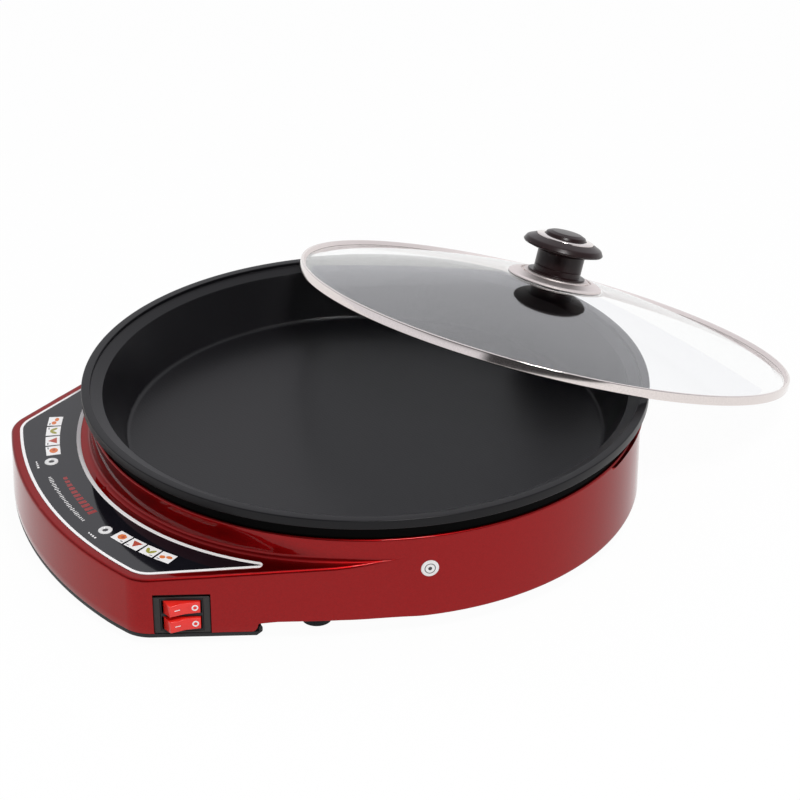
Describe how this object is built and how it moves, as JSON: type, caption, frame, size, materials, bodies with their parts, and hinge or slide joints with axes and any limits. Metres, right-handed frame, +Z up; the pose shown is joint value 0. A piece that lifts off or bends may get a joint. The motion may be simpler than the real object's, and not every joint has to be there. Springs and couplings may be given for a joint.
{
  "type": "electric skillet",
  "caption": "Round electric skillet: black non-stick pan on a red housing with a front control box, red rocker switches and a loose glass lid that leans on the rim.",
  "frame": {"origin": "on the table, in the middle of the footprint of the whole object with its lid at rest", "axes": "+Z up, -Y the way the control box faces, +X the side with the switches"},
  "size_m": [0.4513, 0.61, 0.1355],
  "materials": {
    "nonstick_coat": "cast aluminium with a black non-stick coat",
    "heat_proof_plastic": "matte black heat-proof plastic",
    "red_paint": "glossy metallic red paint on steel",
    "black_plastic": "fine matte",
    "zinc_steel": "bright zinc",
    "galvanised_steel": "zinc-coated sheet",
    "foot_rubber": "matte rubber",
    "element_sheath": "dark oxidised sheath",
    "ceramic": "unglazed",
    "printed_film": "dark glossy film with a white border",
    "lens_plastic": "dark red clear plastic",
    "lamp_glass": "clear neon lamp",
    "plate_plastic": "fine matte",
    "brass": "bright",
    "rocker_plastic": "glossy signal red",
    "brown_insulation": "soft insulation",
    "red_insulation": "soft insulation",
    "blue_insulation": "soft insulation",
    "green_insulation": "soft insulation",
    "badge_plastic": "glossy white",
    "lid_glass": "clear tempered glass",
    "stainless_steel": "satin",
    "knob_plastic": "satin brown-black",
    "silicone": "soft"
  },
  "bodies": {
    "base": {"pan": "nonstick_coat", "pan_seat_ring": "heat_proof_plastic", "housing_shell": "red_paint", "bottom_cover": "black_plastic", "cover_screws": "zinc_steel", "base_plate": "galvanised_steel", "base_screws": "zinc_steel", "feet": "foot_rubber", "foot_screws": "zinc_steel", "foot_nuts": "zinc_steel", "outer_element": "element_sheath", "inner_element": "element_sheath", "element_clamps": "galvanised_steel", "pan_studs": "zinc_steel", "clamp_nuts": "zinc_steel", "stud_spacers": "zinc_steel", "heat_shield": "galvanised_steel", "stud_nuts": "zinc_steel", "thermostat": "ceramic", "thermostat_bracket": "galvanised_steel", "bracket_studs": "zinc_steel", "bracket_nuts": "zinc_steel", "panel_film": "printed_film", "indicator_lenses": "lens_plastic", "indicator_lamps": "lamp_glass", "switch_plate": "plate_plastic", "switch_body_upper": "black_plastic", "switch_body_lower": "black_plastic", "switch_tabs": "brass", "power_inlet": "black_plastic", "inlet_pins": "brass", "terminal_block": "ceramic", "terminal_screws": "zinc_steel", "live_wires": "brown_insulation", "element_wires": "red_insulation", "neutral_wires": "blue_insulation", "earth_wire": "green_insulation", "earth_screw": "brass", "badge": "badge_plastic"},
    "rocker_upper": {"rocker_upper": "rocker_plastic"},
    "rocker_lower": {"rocker_lower": "rocker_plastic"},
    "lid": {"lid_glass": "lid_glass", "lid_band": "stainless_steel", "knob_escutcheon": "stainless_steel", "knob_stem": "knob_plastic", "knob_cap": "knob_plastic", "knob_ring": "stainless_steel", "knob_button": "knob_plastic", "lid_washer": "silicone", "knob_screw": "zinc_steel"}
  },
  "joints": [
    {"name": "upper_switch", "type": "hinge", "parent": "base", "child": "rocker_upper", "pos_m": [0.15093, -0.25333, 0.02925], "axis": [0, 0, -1], "range_deg": [0, 30]},
    {"name": "lower_switch", "type": "hinge", "parent": "base", "child": "rocker_lower", "pos_m": [0.15093, -0.25333, 0.01705], "axis": [0, 0, -1], "range_deg": [0, 30]},
    {"name": "lid_lift", "type": "slide", "parent": "base", "child": "lid", "axis": [0, 0, 1], "range_m": [0, 0.25]}
  ]
}
